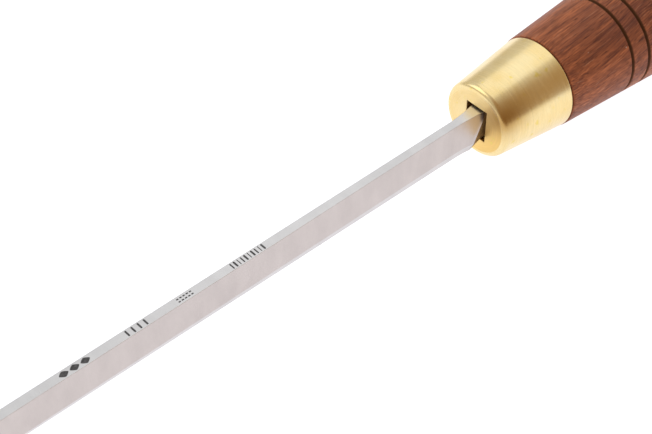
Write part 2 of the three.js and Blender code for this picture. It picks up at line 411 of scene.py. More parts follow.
@dataclass(frozen=True)
class GroundSteel:
    """Tool steel, belt-ground across the blade, with forge scale left on the tang."""

    bright: Colour = (0.67, 0.66, 0.66)
    dull: Colour = (0.59, 0.58, 0.582)
    bright_span: Span = (0.5, 1.0)
    # painted shade: a warmer, darker grey multiplied onto the flanks for the dim floor they reflect
    flank_shade: Colour = (0.86, 0.785, 0.745)
    scratch_size: float = 0.09 * MM
    scratch_stretch: float = 0.05
    scratch_share: float = 0.5
    scratch_depth: float = 0.0006 * MM
    patch_size: float = 3.0 * MM
    patch_stretch: float = 0.5
    scale_brown: Colour = (0.42, 0.25, 0.09)
    scale_black: Colour = (0.20, 0.12, 0.045)
    scale_size: float = 0.5 * MM
    scale_span: Span = (0.4, 0.62)
    scale_depth: float = 0.03 * MM
    smooth: float = 0.22
    scratch_roughness: float = 0.16
    scale_roughness: float = 0.2

    def material(self) -> bpy.types.Material:
        """Wires the scratches and the uneven patches.

        One weight darkens and warms the flanks, a painted shade that stands in for the dimmer,
        warmer floor they reflect; the scale weight brings the dark crust of the tang.

        Returns:
            The finished material.
        """
        nodes = SurfaceShading("ground_steel")
        place = nodes.place()
        across = nodes.drawn(place, 1.0, self.scratch_stretch)
        scratches = nodes.noise(across, self.scratch_size, detail=6.0, roughness=0.7)
        patchy = nodes.drawn(place, 1.0, self.patch_stretch)
        patches = nodes.noise(patchy, self.patch_size, detail=4.0, roughness=0.6)
        tone = nodes.math("MULTIPLY_ADD", scratches, self.scratch_share, patches)
        clean = nodes.blend(nodes.ramp(tone, self.bright_span), self.dull, self.bright)
        clean = nodes.blend(nodes.weight("flank_shade"), clean, self.flank_shade, "MULTIPLY")
        crust = nodes.noise(place, self.scale_size, detail=5.0, roughness=0.7)
        brown = nodes.ramp(crust, self.scale_span)
        scale = nodes.blend(brown, self.scale_black, self.scale_brown)
        covered = nodes.weight("scale")
        roughness = nodes.math("MULTIPLY_ADD", scratches, self.scratch_roughness, self.smooth)
        roughness = nodes.math("MULTIPLY_ADD", covered, self.scale_roughness, roughness)
        fine = nodes.bump(scratches, self.scratch_depth, strength=0.6)
        crusty = nodes.math("MULTIPLY", crust, covered)
        return nodes.dress(
            Base_Color=nodes.blend(covered, clean, scale),
            Metallic=nodes.math("SUBTRACT", 1.0, covered),
            Roughness=roughness,
            Normal=nodes.bump(crusty, self.scale_depth, strength=0.5, under=fine),
        )


@dataclass(frozen=True)
class SpunBrass:
    """Brass finished on the lathe, with fine lines round the axis and painted reflections, dark by the rim
    and orange on the face.
    """

    bright: Colour = (0.93, 0.76, 0.42)
    warm: Colour = (0.90, 0.69, 0.32)
    cloud_size: float = 5.0 * MM
    cloud_span: Span = (0.35, 0.65)
    spot: Colour = (0.86, 0.66, 0.16)
    spot_size: float = 1.7 * MM
    spot_span: Span = (0.64, 0.74)
    spot_share: float = 0.8
    # painted reflection: an orange laid over the face, slight everywhere, strongest towards +Y and -Z
    amber_reflection: Colour = (0.90, 0.60, 0.20)
    amber_reflection_side: tuple[float, float, float] = (0.0, 0.8, -0.6)
    amber_reflection_span: Span = (-3.0 * MM, 4.5 * MM)
    amber_reflection_shares: Span = (0.15, 0.95)
    # painted reflection: a dark brown laid on by the rim, the darkest part of a reflected dark band
    dark_reflection_colour: Colour = (0.44, 0.235, 0.055)
    dark_reflection_share: float = 0.85
    line_size: float = 0.24 * MM
    line_turn: float = 0.35 * MM
    line_span: Span = (0.3, 0.7)
    line_shades: Span = (0.86, 1.0)
    line_depth: float = 0.0014 * MM
    smooth: float = 0.15
    line_roughness: float = 0.14
    face_roughness: float = 0.17

    def material(self) -> bpy.types.Material:
        """Wires lines on the distance along and from the axis, barely changing round it.

        The weight "face" is 1 on the end, which is duller and takes a painted orange reflection
        that grows towards +Y and -Z. A second weight is 1 at a painted dark reflection by the rim.

        Returns:
            The finished material.
        """
        nodes = SurfaceShading("spun_brass")
        place = nodes.place()
        x, y, z = nodes.parts(place)
        radius = nodes.vector("LENGTH", nodes.join(0.0, y, z))
        turn = nodes.math("MULTIPLY", nodes.math("ARCTAN2", z, y), self.line_turn)
        lines = nodes.join(x, turn, radius)
        lines = nodes.noise(lines, self.line_size, detail=8.0, roughness=0.72)
        clouds = nodes.noise(place, self.cloud_size, detail=4.0, roughness=0.6)
        spots = nodes.noise(place, self.spot_size, detail=2.0, roughness=0.5)
        end = nodes.weight("face")
        tint = nodes.blend(nodes.ramp(clouds, self.cloud_span), self.bright, self.warm)
        # painted reflection: the face's orange grows along this lean
        lean = nodes.vector("DOT_PRODUCT", place, self.amber_reflection_side)
        amber_reflection = nodes.math("MULTIPLY", end, nodes.ramp(lean, self.amber_reflection_span, self.amber_reflection_shares))
        tint = nodes.blend(amber_reflection, tint, self.amber_reflection)
        spotted = nodes.ramp(spots, self.spot_span, (0.0, self.spot_share))
        tint = nodes.blend(spotted, tint, self.spot)
        # painted reflection: darkens the brass by the rim, where a dark band is reflected
        reflected_dark = nodes.math("MULTIPLY", nodes.weight("dark_reflection"), self.dark_reflection_share)
        tint = nodes.blend(reflected_dark, tint, self.dark_reflection_colour)
        shade = nodes.ramp(lines, self.line_span, self.line_shades)
        roughness = nodes.math("MULTIPLY_ADD", lines, self.line_roughness, self.smooth)
        around = nodes.node("Tangent", {}, direction_type="RADIAL", axis="X").outputs[0]
        return nodes.dress(
            Base_Color=nodes.blend(1.0, tint, shade, "MULTIPLY"),
            Metallic=1.0,
            Roughness=nodes.math("MULTIPLY_ADD", end, self.face_roughness, roughness),
            Anisotropic=0.5,
            Tangent=around,
            Normal=nodes.bump(lines, self.line_depth, strength=0.6),
        )


@dataclass(frozen=True)
class Grain:
    """One figure in the wood: noise drawn out along the tool, by one over stretch.

    The figure's colour starts where the noise reaches the first end of span, is at its most at
    the other end, and is then laid on by share.
    """

    size: float
    stretch: float
    detail: float
    span: Span
    colour: Colour
    share: float = 1.0

    def noise(self, nodes: Shading, place: Feed) -> Socket:
        """The bare noise."""
        drawn = nodes.drawn(place, self.stretch, 1.0)
        return nodes.noise(drawn, self.size, self.detail, roughness=0.65)

    def cover(self, nodes: Shading, place: Feed) -> Socket:
        """Where the figure shows: 0 to 1 as its noise crosses the span."""
        return nodes.ramp(self.noise(nodes, place), self.span)

    def over(self, nodes: Shading, cover: Socket, wood: Socket) -> Socket:
        """The wood with the figure's colour over it, at its share of the cover."""
        return nodes.blend(nodes.math("MULTIPLY", cover, self.share), wood, self.colour)


@dataclass(frozen=True)
class DarkHardwood:
    """Red-brown tropical hardwood, waxed, with wavy grain, open pores and darker clouds."""

    body: Colour = (0.160, 0.046, 0.022)
    fibre: Grain = Grain(
        size=0.25 * MM, stretch=0.045, detail=5.0, span=(0.33, 0.67), colour=(0.53, 0.168, 0.066)
    )
    cloud: Grain = Grain(
        size=9.0 * MM, stretch=0.3, detail=4.0, span=(0.47, 0.72), colour=(0.095, 0.034, 0.031), share=0.62
    )
    streak: Grain = Grain(
        size=0.24 * MM, stretch=0.018, detail=2.0, span=(0.60, 0.72), colour=(0.58, 0.27, 0.155), share=0.5
    )
    pore: Grain = Grain(
        size=0.17 * MM, stretch=0.08, detail=2.0, span=(0.57, 0.68), colour=(0.055, 0.018, 0.011), share=0.7
    )
    chalk: Grain = Grain(
        size=0.55 * MM, stretch=0.6, detail=1.0, span=(0.79, 0.82), colour=(0.60, 0.40, 0.32), share=0.8
    )
    burnt: Colour = (0.095, 0.036, 0.012)
    pith_y: float = -31.0 * MM
    pith_z: float = 22.0 * MM
    ring_width: float = 1.9 * MM
    ring_share: float = 0.045
    wave_size: float = 22.0 * MM
    wave_stretch: Span = (0.8, 0.6)
    wave_depth: float = 6.0 * MM
    waxed: float = 0.47
    pore_roughness: float = 0.15
    burnt_roughness: float = 0.2
    fibre_relief: float = 0.3
    pore_depth: float = 0.018 * MM

    def wavy_place(self, nodes: Shading) -> Socket:
        """The place in the wood, swayed across the tool so that the grain waves.

        Args:
            nodes: The material that is being wired.

        Returns:
            The swayed place.
        """
        place = nodes.place()
        drawn = nodes.drawn(place, *self.wave_stretch)
        wave = nodes.noise(drawn, self.wave_size, detail=1.0, roughness=0.4, output="Color")
        centred = nodes.vector("SUBTRACT", wave, (0.5, 0.5, 0.5))
        sway = nodes.vector("MULTIPLY", centred, (0.0, self.wave_depth, self.wave_depth))
        return nodes.vector("ADD", place, sway)

    def rings(self, nodes: Shading, place: Feed) -> Socket:
        """Growth rings: the sine of the distance from the pith, a turn for each ring's width.

        Args:
            nodes: The material that is being wired.
            place: The place in the wood.

        Returns:
            A number from -1 to 1.
        """
        _, y, z = nodes.parts(place)
        beside = nodes.math("SUBTRACT", y, self.pith_y)
        above = nodes.math("SUBTRACT", z, self.pith_z)
        distance = nodes.vector("LENGTH", nodes.join(0.0, beside, above))
        return nodes.math("SINE", nodes.math("MULTIPLY", distance, math.tau / self.ring_width))

    def material(self) -> bpy.types.Material:
        """Wires fibres, rings, clouds, streaks and pores, and by the weight "burnt" the grooves.

        Returns:
            The finished material.
        """
        nodes = SurfaceShading("dark_hardwood")
        place = self.wavy_place(nodes)
        fibre = self.fibre.noise(nodes, place)
        tone = nodes.math("MULTIPLY_ADD", self.rings(nodes, place), self.ring_share, fibre)
        wood = nodes.blend(nodes.ramp(tone, self.fibre.span), self.body, self.fibre.colour)
        wood = self.cloud.over(nodes, self.cloud.cover(nodes, place), wood)
        wood = self.streak.over(nodes, self.streak.cover(nodes, place), wood)
        pore = self.pore.cover(nodes, place)
        wood = self.pore.over(nodes, pore, wood)
        wood = self.chalk.over(nodes, self.chalk.cover(nodes, nodes.place()), wood)
        charred = nodes.weight("burnt")
        roughness = nodes.math("MULTIPLY_ADD", pore, self.pore_roughness, self.waxed)
        roughness = nodes.math("MULTIPLY_ADD", charred, self.burnt_roughness, roughness)
        fibrous = nodes.math("MULTIPLY", fibre, self.fibre_relief)
        relief = nodes.math("SUBTRACT", fibrous, pore)
        return nodes.dress(
            Base_Color=nodes.blend(charred, wood, self.burnt),
            Roughness=roughness,
            Specular_IOR_Level=0.17,
            Normal=nodes.bump(relief, self.pore_depth, strength=0.5),
        )


@dataclass(frozen=True)
class EtchedInk:
    """The dark, slightly uneven bite of a marking acid in steel."""

    dark: Colour = (0.030, 0.030, 0.033)
    worn: Colour = (0.11, 0.11, 0.115)
    wear_size: float = 0.25 * MM
    wear_span: Span = (0.4, 0.7)
    wear_depth: float = 0.005 * MM
    smooth: float = 0.4
    wear_roughness: float = 0.2

    def material(self) -> bpy.types.Material:
        """Wires a worn patchiness.

        Returns:
            The finished material.
        """
        nodes = SurfaceShading("etched_mark")
        wear = nodes.noise(nodes.place(), self.wear_size, detail=3.0, roughness=0.6)
        return nodes.dress(
            Base_Color=nodes.blend(nodes.ramp(wear, self.wear_span), self.dark, self.worn),
            Roughness=nodes.math("MULTIPLY_ADD", wear, self.wear_roughness, self.smooth),
            Normal=nodes.bump(wear, self.wear_depth, strength=0.5),
        )


# ---- Blade ---------------------------------------------------------------------------------


@dataclass
class Blade:
    """The blade: tang, slanted shoulder, tapering bar, and the V with its channel and bevels.

    A section has three corners a side: the band's edge, the knee and the keel's edge.
    """

    tang_end: float
    face: float
    tip: float
    band_z: float
    halves_rear: tuple[float, float, float] = (0.76 * MM, 1.15 * MM, 0.9 * MM)
    halves_front: tuple[float, float, float] = (0.9 * MM, 1.15 * MM, 0.9 * MM)
    heights_rear: tuple[float, float] = (-3.07 * MM, -4.5 * MM)
    heights_front: tuple[float, float] = (-2.96 * MM, -3.72 * MM)
    run_out: float = 6.0 * MM
    shoulder_halves: tuple[float, float, float] = (1.45 * MM, 1.5 * MM, 1.1 * MM)
    shoulder_top: float = -1.0 * MM
    shoulder_slant: float = 0.48
    shoulder_lip: float = 0.06 * MM
    shoulder_rise: float = 0.30 * MM
    flare_length: float = 18.0 * MM
    vee_straight: float = 8.0 * MM
    vee_half: float = 3.175 * MM
    half_angle: float = math.radians(30)
    wing: float = 1.0 * MM
    vee_keel_half: float = 0.25 * MM
    knee_rise: float = 1.2 * MM
    channel_length: float = 24.0 * MM
    bevel_angle: float = math.radians(20)
    edge_land: float = 0.05 * MM
    tang_half: float = 1.38 * MM
    tang_low: float = -3.05 * MM
    tang_heel_drop: float = 0.9 * MM
    tang_end_half: float = 0.9 * MM
    tang_end_half_height: float = 1.4 * MM
    joint_gap: float = 0.3 * MM
    edge_radius: float = 0.06 * MM
    bevel_crease: float = 0.04 * MM
    lip_share: float = 0.3
    # how much of the flanks' painted shade lies below the knee
    keel_flank_shade: float = 0.4
    run_out_rings: int = 21
    run_out_crowding: float = 1.5
    bar_rings: int = 39
    flare_rings: int = 39
    vee_rings: int = 7
    bevel_rings: int = 16

    @classmethod
    def from_frame(cls) -> "Blade":
        """The blade with its ends and height read from the frame."""
        low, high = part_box("blade")
        return cls(tang_end=low.x, face=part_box("ferrule")[1].x, tip=high.x, band_z=high.z)

    @property
    def reach(self) -> float:
        """Length ahead of the ferrule."""
        return self.tip - self.face

    @property
    def bar_length(self) -> float:
        """Length of the straight bar, up to the flare."""
        return self.reach - self.vee_straight - self.flare_length

    @property
    def bevel_length(self) -> float:
        """Length of the bevels, measured along the tool."""
        return (self.wing - self.edge_land) / math.tan(self.bevel_angle)

    @property
    def lip_half(self) -> float:
        """Half width of the channel's mouth at the cutting edge."""
        return self.vee_half - self.wing / math.cos(self.half_angle)

    def section(self, ahead: Array) -> tuple[Array, Array]:
        """Half widths and heights of the corners.

        The bar's corners move evenly from rear to front. The V's outside is two planes at the
        half angle, a wing's thickness outside the channel's walls, and the bevel takes that
        thickness down evenly to the land at the edge. Over the flare, the bar eases into the V.

        Args:
            ahead: Where each corner lies, shape (n, 3).

        Returns:
            The half widths and the heights, shape (n, 3) each.
        """
        slope = math.tan(self.half_angle)
        along = np.clip(ahead / self.bar_length, 0.0, 1.0)
        rear, front = np.array(self.halves_rear), np.array(self.halves_front)
        bar_half = rear + (front - rear) * along
        rear_z = np.array([self.band_z, *self.heights_rear])
        front_z = np.array([self.band_z, *self.heights_front])
        bar_z = rear_z + (front_z - rear_z) * along
        ground = self.edge_land + (self.reach - ahead) * math.tan(self.bevel_angle)
        wing = np.minimum(self.wing, ground)
        apex = self.band_z - (self.lip_half + wing / math.cos(self.half_angle)) / slope
        full_keel_z = self.band_z - (self.vee_half - self.vee_keel_half) / slope
        keel_z = np.maximum(full_keel_z, apex + self.edge_land)
        band_z = np.full(len(ahead), self.band_z)
        vee_z = np.stack([band_z, keel_z[:, 1] + self.knee_rise, keel_z[:, 2]], axis=1)
        vee_half = (vee_z - apex) * slope
        flare = ease((ahead - self.bar_length) / self.flare_length)
        return bar_half + (vee_half - bar_half) * flare, bar_z + (vee_z - bar_z) * flare

    def shoulder(self, z: Array) -> Array:
        """How far ahead the slanted shoulder lies at a height."""
        return self.shoulder_top + (self.band_z - z) * self.shoulder_slant

    def run_out_rows(self) -> tuple[Array, Array, Array]:
        """The rings between the shoulder and the plain bar.

        Ring t starts on the shoulder's slant at 0 and is square to the tool at 1, with the rings
        crowded towards the shoulder. Its half widths go from the shoulder's to the bar's as
        (1 - t)^2 falls. The grinding leaves a lip round the shoulder's edge that falls as
        (1 - t)^16, and a rise in the band that falls as (1 - t)^4.

        Returns:
            How far ahead each corner lies, its half width and its height, shape (n, 3) each.
        """
        share = np.linspace(0.0, 1.0, self.run_out_rings)[:, None] ** self.run_out_crowding
        rear_z = np.array([self.band_z, *self.heights_rear])
        ahead = self.shoulder(rear_z) + (self.run_out - self.shoulder(rear_z)) * share
        half, z = self.section(ahead)
        half = half + (np.array(self.shoulder_halves) - half) * (1.0 - share) ** 2
        half = half + self.shoulder_lip * (1.0 - share) ** 16
        z = z + np.array([self.shoulder_rise, 0.0, 0.0]) * (1.0 - share) ** 4
        return ahead, half, z

    def tang_rows(self) -> tuple[Array, Array, Array]:
        """The rings from the tang's end through the slot to the foot of the shoulder.

        Returns:
            How far ahead each corner lies, its half width and its height, shape (3, 3) each.
        """
        middle = (self.band_z + self.tang_low) / 2
        rise = self.tang_end_half_height
        heel = np.array([self.band_z, middle, self.tang_low - self.tang_heel_drop])
        behind = min(self.shoulder_top, 0.0) - self.joint_gap
        end = np.full(3, self.tang_end - self.face)
        ahead = np.array([end, [behind, behind, 0.0], self.shoulder(heel)])
        half = np.outer([self.tang_end_half, self.tang_half, self.tang_half], np.ones(3))
        end_z = [middle + rise, middle, middle - rise]
        z = np.array([end_z, [self.band_z, middle, self.tang_low], heel])
        return ahead, half, z

    def plain_rows(self) -> tuple[Array, Array, Array]:
        """The rings square to the tool, from the run-out to the edge, closest where it curves.

        Returns:
            How far ahead each corner lies, its half width and its height, shape (n, 3) each.
        """
        vee_start = self.bar_length + self.flare_length
        bevel_start = self.reach - self.bevel_length
        stretches = [
            np.linspace(self.run_out, self.bar_length, self.bar_rings + 1)[1:],
            np.linspace(self.bar_length, vee_start, self.flare_rings + 1)[1:],
            np.linspace(vee_start, bevel_start - self.bevel_crease, self.vee_rings + 1)[1:],
            np.linspace(bevel_start, self.reach, self.bevel_rings),
        ]
        ahead = np.repeat(np.concatenate(stretches)[:, None], 3, axis=1)
        return ahead, *self.section(ahead)

    def rings(self) -> tuple[Array, Array]:
        """All rings, with nine corners each.

        Beside the three outer corners a side, a ring has the channel's two lips and its floor.
        The floor climbs evenly from the edge back to the band, and behind that the lips and the
        floor lie flat on the band.

        Returns:
            The corners, shape (n, 9, 3), and how much scale is on each ring, shape (n,).
        """
        blocks = [self.tang_rows(), self.run_out_rows(), self.plain_rows()]
        ahead, half, z = (np.concatenate(column) for column in zip(*blocks))
        slope = math.tan(self.half_angle)
        depth = self.lip_half / slope
        channel = depth * np.clip(1.0 - (self.reach - ahead[:, 0]) / self.channel_length, 0.0, 1.0)
        lip = np.maximum(channel * slope, self.lip_share * half[:, 0])
        top = z[:, 0]
        band, knee, keel = range(3)
        corners = [
            (band, half[:, band], top),
            (band, lip, top),
            (band, 0 * lip, top - channel),
            (band, -lip, top),
            (band, -half[:, band], top),
            (knee, -half[:, knee], z[:, knee]),
            (keel, -half[:, keel], z[:, keel]),
            (keel, half[:, keel], z[:, keel]),
            (knee, half[:, knee], z[:, knee]),
        ]
        rings = [np.stack([self.face + ahead[:, at], y, level], axis=1) for at, y, level in corners]
        scale = np.zeros(len(ahead))
        scale[: len(blocks[0][0])] = 1.0
        return np.stack(rings, axis=1), scale

    def rounded(self, corners: Array) -> Array:
        """Rounds each corner of each ring with a parabola.

        A corner c with neighbours a and b becomes six points: one two radii towards a, four at
        even steps t of the curve (1-t)^2 p + 2t(1-t) c + t^2 q, where p and q lie one radius
        from c on the straights, and one two radii towards b. The radius is never over a fifth of
        either straight.

        Args:
            corners: The corners of the rings, shape (n, corners, 3).

        Returns:
            The rounded rings, shape (n, 6 * corners, 3).
        """
        to_last = np.roll(corners, 1, axis=1) - corners
        to_next = np.roll(corners, -1, axis=1) - corners
        last_length = np.linalg.norm(to_last, axis=2, keepdims=True)
        next_length = np.linalg.norm(to_next, axis=2, keepdims=True)
        radius = np.minimum(self.edge_radius, np.minimum(last_length, next_length) / 5.0)
        back, on = to_last / last_length * radius, to_next / next_length * radius
        curve = [corners + back * (1.0 - t) ** 2 + on * t**2 for t in (0.0, 1 / 3, 2 / 3, 1.0)]
        points = [corners + 2.0 * back, *curve, corners + 2.0 * on]
        return np.stack(points, axis=2).reshape(len(corners), -1, 3)

    def flank_shade(self) -> Array:
        """How much of the flanks' painted shade each point of a ring takes.

        It is 1 between the band's edge and the knee, the keel's share below the knee and 0 on top,
        and goes evenly from one to the other round the corner between them.

        Returns:
            The value at each point of a rounded ring.
        """
        turn = np.array([0.0, 0.0, 1 / 3, 2 / 3, 1.0, 1.0])
        from_band, to_knee = turn, 1.0 + (self.keel_flank_shade - 1.0) * turn
        top, keel = 0.0 * turn, 0.0 * turn + self.keel_flank_shade
        left = [from_band, to_knee, keel]
        right = [keel, to_knee[::-1]]
        return np.concatenate([from_band[::-1], top, top, top, *left, *right])

    def build(self, steel: bpy.types.Material) -> bpy.types.Object:
        """Makes the blade and closes both of its ends.

        Args:
            steel: Its finish.

        Returns:
            The blade.
        """
        corners, scale = self.rings()
        rings = self.rounded(corners)
        rows, columns = rings.shape[:2]
        faces = wrap_faces(rows, columns, closed=False)
        faces.append(list(range(columns))[::-1])
        faces.append(list(range((rows - 1) * columns, rows * columns)))
        points = rings.reshape(-1, 3)
        weights = {"scale": np.repeat(scale, columns), "flank_shade": np.tile(self.flank_shade(), rows)}
        return make_piece("blade_ground", points, faces, steel, "blade", weights)


# ---- Marks on the band ---------------------------------------------------------------------


@dataclass(frozen=True)
class Stroke:
    """One etched stroke: a superellipse that lies on the band."""

    ahead: float
    across: float
    half_length: float
    half_width: float
    squareness: float


@dataclass(frozen=True)
class StrokeRow:
    """Strokes at even steps along the band, with one half length for each step.

    Where there is more than one place across, every step has a stroke at each.
    """

    start: float
    step: float
    half_lengths: tuple[float, ...]
    half_width: float = 0.62 * MM
    across: tuple[float, ...] = (0.0,)
    squareness: float = 6.0

    def strokes(self) -> list[Stroke]:
        """The strokes, from the ferrule on."""
        return [
            Stroke(self.start + k * self.step, side, half_length, self.half_width, self.squareness)
            for k, half_length in enumerate(self.half_lengths)
            for side in self.across
        ]


WIDE, MIDDLING, NARROW = 0.17 * MM, 0.12 * MM, 0.08 * MM  # half lengths of the bars
LOZENGES = StrokeRow(start=81.8 * MM, step=1.95 * MM, half_lengths=(0.85 * MM,) * 3, squareness=1.25)
TICKS = StrokeRow(start=70.6 * MM, step=1.15 * MM, half_lengths=(0.16 * MM,) * 4)
DASHES = StrokeRow(
    start=61.8 * MM,
    step=0.62 * MM,
    half_lengths=(0.21 * MM,) * 5,
    half_width=0.12 * MM,
    across=(-0.3 * MM, 0.3 * MM),
)
BARS = StrokeRow(
    start=47.4 * MM,
    step=0.7 * MM,
    half_lengths=(WIDE, NARROW, MIDDLING, WIDE, NARROW, WIDE, MIDDLING, NARROW, WIDE, MIDDLING),
)


@dataclass
class BandMarks:
    """Plain etched strokes on the band, in the four places where such a blade is marked."""

    face: float
    band_z: float
    height: float = 0.010 * MM
    sunk: float = 0.02 * MM
    columns: int = 24

    @classmethod
    def from_frame(cls) -> "BandMarks":
        """The marks on the blade of the frame."""
        return cls(face=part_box("ferrule")[1].x, band_z=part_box("blade")[1].z)

    def outlines(self, strokes: list[Stroke]) -> Array:
        """The strokes as low closed plates.

        A point of stroke s at angle a is at (A c|c|^(2/n-1), B s|s|^(2/n-1)) from its middle,
        with c and s the cosine and sine of a, A and B its half sizes and n its squareness.

        Args:
            strokes: The strokes of one mark.

        Returns:
            Rings of points, shape (strokes, 4, columns, 3): lower pole, foot, top edge and upper
            pole. The poles are rings of no size.
        """
        angle = np.arange(self.columns) / self.columns * math.tau
        power = np.array([2.0 / s.squareness for s in strokes])[:, None]
        unit_x = np.sign(np.cos(angle)) * np.abs(np.cos(angle)) ** power
        unit_y = np.sign(np.sin(angle)) * np.abs(np.sin(angle)) ** power
        sizes = np.array([(s.ahead, s.across, s.half_length, s.half_width) for s in strokes])
        ahead, across, half_length, half_width = sizes.T[:, :, None, None]
        level = np.array([0.0, 1.0, 1.0, 0.0])[None, :, None]
        x = self.face + ahead + half_length * level * unit_x[:, None, :]
        y = across + half_width * level * unit_y[:, None, :]
        rise = np.array([-self.sunk, -self.sunk, self.height, self.height])[None, :, None]
        z = np.broadcast_to(self.band_z + rise, x.shape)
        return np.stack([x, y, z], axis=3)

    def build_mark(self, name: str, strokes: list[Stroke], ink: bpy.types.Material) -> bpy.types.Object:
        """Makes one mark from its strokes.

        Args:
            name: The piece's name.
            strokes: The strokes.
            ink: Their finish.

        Returns:
            The mark, as one piece.
        """
        rings = self.outlines(strokes)
        edges = rings[:, 1:3].reshape(len(strokes), -1, 3)
        poles = rings[:, [0, 3], 0]
        points = np.concatenate([edges, poles], axis=1).reshape(-1, 3)
        count = 2 * self.columns
        single = wrap_faces(2, self.columns, closed=False)
        single += pole_faces(2, self.columns, (count, count + 1))
        starts = range(0, len(points), count + 2)
        faces = [[start + corner for corner in face] for start in starts for face in single]
        return make_piece(name, points, faces, ink)

    def build(self, ink: bpy.types.Material) -> list[bpy.types.Object]:
        """Makes the row of lozenges, the ticks, the two fine dashed lines and the bars."""
        marks = {"lozenge_mark": LOZENGES, "tick_mark": TICKS, "dash_mark": DASHES, "bar_mark": BARS}
        return [self.build_mark(name, row.strokes(), ink) for name, row in marks.items()]


# ---- Ferrule -------------------------------------------------------------------------------


@dataclass
class Ferrule:
    """The tapered brass cap, with a slot for the tang in its end wall.

    The rings next to a rounded edge lie its clearance, in edge radii, from the corner.
    """

    back: float
    face: float
    back_radius: float
    front_radius: float = 6.95 * MM
    wall: float = 0.9 * MM
    end_wall: float = 1.2 * MM
    rim_radius: float = 0.85 * MM
    back_edge: float = 0.12 * MM
    slot_half_width: float = 2.28 * MM
    slot_half_height: float = 3.25 * MM
    slot_edge: float = 0.07 * MM
    back_clearance: float = 1.5
    rim_clearance: float = 1.3
    face_clearance: float = 1.25
    edge_rings: int = 8
    cone_rings: int = 28
    face_rings: int = 14
    slot_rings: int = 5
    web_rings: int = 4
    bore_rings: int = 8
    # where the painted dark reflection sits on the rim, and how far it reaches
    dark_reflection_bearing: float = 31.0
    dark_reflection_reach: tuple[float, float, float] = (4.6 * MM, 2.9 * MM, 2.9 * MM)

    @classmethod
    def from_frame(cls) -> "Ferrule":
        """The ferrule with its ends and back radius read from the frame."""
        low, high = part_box("ferrule")
        return cls(back=low.x, face=high.x, back_radius=high.y)

    def radius(self, x: Array) -> Array:
        """Outer radius of the cone, on a straight line from back to face."""
        slope = (self.back_radius - self.front_radius) / (self.face - self.back)
        return self.front_radius + (self.face - x) * slope

    def rows(self) -> tuple[Array, Array]:
        """The rings in one closed tour: back edge, cone, rim, face, slot, inside of the cap.

        Returns:
            The rings, and which of them lie on the face, as 1 or 0.
        """
        turn = np.linspace(0.0, math.pi / 2, self.edge_rings)
        edge_x = self.back + self.back_edge * (1 - np.cos(turn))
        edge = round_rows(edge_x, self.radius(edge_x) - self.back_edge * (1 - np.sin(turn)))
        cone_start = self.back + self.back_edge * self.back_clearance
        cone_end = self.face - self.rim_radius * self.rim_clearance
        cone_x = np.linspace(cone_start, cone_end, self.cone_rings)
        rim_x = self.face - self.rim_radius * (1 - np.sin(turn))
        rim = round_rows(rim_x, self.radius(rim_x) - self.rim_radius * (1 - np.cos(turn)))
        outside = np.concatenate([edge, round_rows(cone_x, self.radius(cone_x)), rim])

        width, height = self.slot_half_width, self.slot_half_height
        flat = round_rows(self.face, self.front_radius - self.rim_radius * self.face_clearance)
        lip = square_rows(self.face, width + self.slot_edge, height + self.slot_edge)
        face = web_rows(flat, lip, np.linspace(0.0, 1.0, self.face_rings))

        inside = self.face - self.end_wall
        slot_x = np.linspace(self.face - self.slot_edge, inside, self.slot_rings)
        slot = square_rows(slot_x, width, height)
        inner = round_rows(inside, self.radius(inside) - self.wall)
        shares = np.linspace(1.0, 0.0, self.web_rings + 2)[1:-1]
        web = web_rows(inner, square_rows(inside, width, height), shares)
        bore_x = np.linspace(inside, self.back, self.bore_rings)
        hollow = np.concatenate([slot, web, round_rows(bore_x, self.radius(bore_x) - self.wall)])

        on_face = np.concatenate([np.zeros(len(outside)), np.ones(len(face)), np.zeros(len(hollow))])
        return np.concatenate([outside, face, hollow]), on_face

    def dark_reflection(self, points: Array) -> Array:
        """How deep the painted dark reflection is: exp(-d^2), where d counts reaches from a spot on the
        rim.

        Args:
            points: The ferrule's points, shape (n, 3).

        Returns:
            A value from 0 to 1 for each point.
        """
        around = math.radians(self.dark_reflection_bearing)
        across = self.front_radius * np.array([math.cos(around), math.sin(around)])
        spot = np.array([self.face - self.rim_radius, *across])
        return np.exp(-(((points - spot) / np.array(self.dark_reflection_reach)) ** 2).sum(axis=1))

    def build(self, brass: bpy.types.Material) -> bpy.types.Object:
        """Makes the ferrule.

        Args:
            brass: Its finish.

        Returns:
            The ferrule.
        """
        rows, on_face = self.rows()
        points = RingWalk(self.slot_half_width, self.slot_half_height).points(rows)
        faces = wrap_faces(len(rows), AXIS_COLUMNS, closed=True)
        weights = {"face": np.repeat(on_face, AXIS_COLUMNS), "dark_reflection": self.dark_reflection(points)}
        return make_piece("ferrule_spun", points, faces, brass, "ferrule", weights)


# ---- Handle --------------------------------------------------------------------------------


